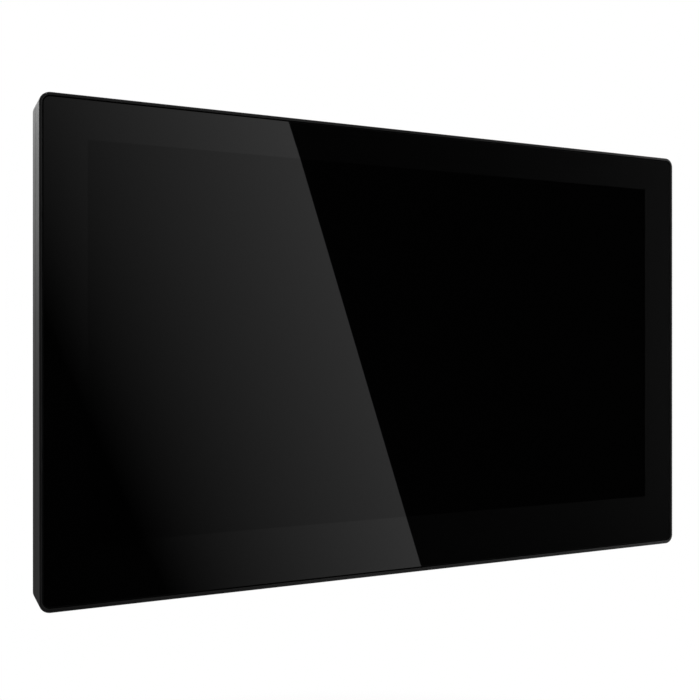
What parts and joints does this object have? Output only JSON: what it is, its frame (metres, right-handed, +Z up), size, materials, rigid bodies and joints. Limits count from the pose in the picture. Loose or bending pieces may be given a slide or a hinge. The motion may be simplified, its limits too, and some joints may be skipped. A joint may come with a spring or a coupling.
{
  "type": "alarm keypad panel",
  "caption": "Thin wall-mounted touchscreen alarm keypad: black glass front unit hung by top hooks on a flat rear base, with display, board and terminals.",
  "frame": {"origin": "centre of the base face that lies on the wall", "axes": "+X to the right seen from the front, +Y into the wall, +Z up; the glass faces -Y"},
  "size_m": [0.253, 0.016, 0.16],
  "materials": {
    "housing": "fine satin texture, near black",
    "cover_glass": "polished black-backed glass",
    "adhesive": "black acrylic foam tape",
    "sensor_glass": "thin clear glass with a dark edge",
    "foam": "soft closed-cell foam",
    "sheet_steel": "plain rolled sheet",
    "tinned_steel": "bright tinned sheet",
    "display_cell": "dark polariser on glass",
    "optical_film": "white optical film",
    "acrylic": "clear moulded acrylic",
    "led_strip": "white flexible circuit with yellow phosphor chips",
    "ribbon": "amber polyimide",
    "circuit_board": "green solder resist",
    "chip": "black moulding compound",
    "ferrite": "grey ferrite",
    "tantalum": "yellow moulded case",
    "connector": "ivory moulded nylon",
    "terminal": "green moulded nylon",
    "screw_steel": "zinc-plated steel",
    "plunger": "natural acetal",
    "card": "black card moulding"
  },
  "bodies": {
    "base": {"rear_base": "housing"},
    "front_unit": {"board_screw_1": "screw_steel", "board_screw_2": "screw_steel", "board_screw_3": "screw_steel", "board_screw_4": "screw_steel", "bracket_screw_1": "screw_steel", "bracket_screw_2": "screw_steel", "bracket_screw_3": "screw_steel", "bracket_screw_4": "screw_steel", "capacitor_1": "tantalum", "capacitor_2": "tantalum", "capacitor_3": "tantalum", "card_socket": "tinned_steel", "cover_glass": "cover_glass", "diffuser_sheet": "optical_film", "display_bracket_1": "sheet_steel", "display_bracket_2": "sheet_steel", "display_bracket_3": "sheet_steel", "display_bracket_4": "sheet_steel", "dust_gasket": "foam", "front_frame": "housing", "glass_adhesive": "adhesive", "lcd_bezel": "sheet_steel", "lcd_cell": "display_cell", "lcd_connector": "connector", "lcd_ribbon": "ribbon", "lcd_tray": "sheet_steel", "led_strip": "led_strip", "light_guide": "acrylic", "main_board": "circuit_board", "memory_chip": "chip", "power_chip": "chip", "power_inductor": "ferrite", "processor": "chip", "processor_shield": "tinned_steel", "reflector_sheet": "optical_film", "service_socket": "tinned_steel", "sounder": "chip", "tamper_switch": "chip", "terminal_block": "terminal", "terminal_screw_1": "screw_steel", "terminal_screw_2": "screw_steel", "terminal_screw_3": "screw_steel", "terminal_screw_4": "screw_steel", "terminal_screw_5": "screw_steel", "terminal_screw_6": "screw_steel", "terminal_screw_7": "screw_steel", "terminal_screw_8": "screw_steel", "touch_connector": "connector", "touch_ribbon": "ribbon", "touch_sensor": "sensor_glass"},
    "tamper_plunger": {"tamper_plunger": "plunger"},
    "memory_card": {"memory_card": "card"}
  },
  "joints": [
    {"name": "front_unit_hinge", "type": "hinge", "parent": "base", "child": "front_unit", "pos_m": [0, -0.00815, 0.0799], "axis": [-1, 0, 0], "range_deg": [0, 35]},
    {"name": "tamper_plunger_slide", "type": "slide", "parent": "front_unit", "child": "tamper_plunger", "axis": [0, 1, 0], "range_m": [0, 0.0015]},
    {"name": "memory_card_slide", "type": "slide", "parent": "front_unit", "child": "memory_card", "axis": [1, 0, 0], "range_m": [0, 0.011]}
  ],
  "couplings": [
    {"joint": "tamper_plunger_slide", "follows": "front_unit_hinge", "m_per_rad": 0.002455}
  ]
}
